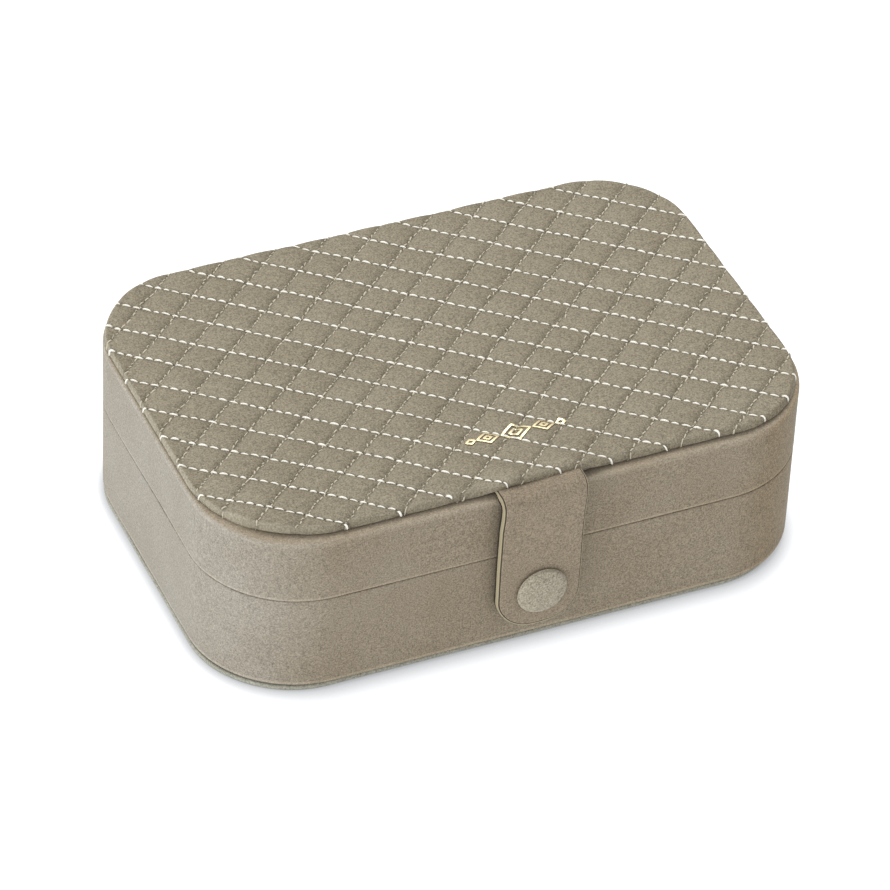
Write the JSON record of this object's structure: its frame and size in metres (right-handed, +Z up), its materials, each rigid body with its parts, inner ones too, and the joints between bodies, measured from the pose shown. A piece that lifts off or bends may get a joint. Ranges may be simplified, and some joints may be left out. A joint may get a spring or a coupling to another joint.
{
  "type": "travel jewelry case",
  "caption": "Hinged travel jewelry case in taupe velvet with a quilted lid, a snap tab, ring rolls, divided compartments, a lid mirror and an elastic pocket.",
  "frame": {"origin": "centre of the flat face the case rests on", "axes": "+Z up out of the resting face, +X along the case's long side, the snap tab faces -Y"},
  "size_m": [0.18, 0.1297, 0.056],
  "materials": {
    "velvet_side": "short taupe velvet with a soft sheen",
    "velvet_quilt": "taupe velvet, quilted in diamonds with cream thread",
    "velvet_tab": "short taupe velvet",
    "tab_edge": "pale khaki microfibre core, cut edge",
    "button_velvet": "velvet stretched over a metal button",
    "velvet_lining": "light taupe velvet lining over foam",
    "pocket_cloth": "thin gathered lining cloth",
    "elastic": "woven elastic band",
    "grey_board": "stiff grey board",
    "snap_metal": "nickel-plated press stud",
    "mirror": "silvered glass"
  },
  "bodies": {
    "case": {"bottom_panel": "velvet_side", "base_side_cover": "velvet_side", "base_wall_board": "grey_board", "base_floor_board": "grey_board", "base_wall_lining": "velvet_lining", "base_floor_pad": "velvet_lining", "long_divider": "velvet_lining", "cross_divider": "velvet_lining", "short_divider": "velvet_lining", "ring_bay_block": "velvet_lining", "ring_roll_1": "velvet_lining", "ring_roll_2": "velvet_lining", "ring_roll_3": "velvet_lining", "ring_roll_4": "velvet_lining", "ring_roll_5": "velvet_lining", "ring_roll_6": "velvet_lining", "ring_roll_7": "velvet_lining", "snap_stud": "snap_metal", "snap_post": "snap_metal", "hinge_cloth_lower": "velvet_side", "hinge_lining_lower": "velvet_lining"},
    "lid": {"lid_side_cover": "velvet_side", "lid_wall_board": "grey_board", "lid_top_board": "grey_board", "lid_wall_lining": "velvet_lining", "lid_ceiling_pad": "velvet_lining", "quilted_top_panel": "velvet_quilt", "top_panel_board": "grey_board", "mirror_frame": "velvet_lining", "mirror_glass": "mirror", "mirror_backing": "grey_board", "elastic_pocket": "pocket_cloth", "pocket_elastic": "elastic", "hinge_cloth_upper": "velvet_side", "hinge_lining_upper": "velvet_lining", "tab_tongue": "velvet_tab"},
    "tab": {"tab_front": "velvet_tab", "tab_core": "tab_edge", "tab_backing": "velvet_tab", "snap_cap_cover": "button_velvet", "snap_cap_shell": "snap_metal", "snap_socket": "snap_metal"}
  },
  "joints": [
    {"name": "lid_hinge", "type": "hinge", "parent": "case", "child": "lid", "pos_m": [0, 0.0617, 0.0327], "axis": [-1, 0, 0], "range_deg": [0, 105]},
    {"name": "tab_hinge", "type": "hinge", "parent": "lid", "child": "tab", "pos_m": [0, -0.06547, 0.05347], "axis": [-1, 0, 0], "range_deg": [0, 150]}
  ]
}
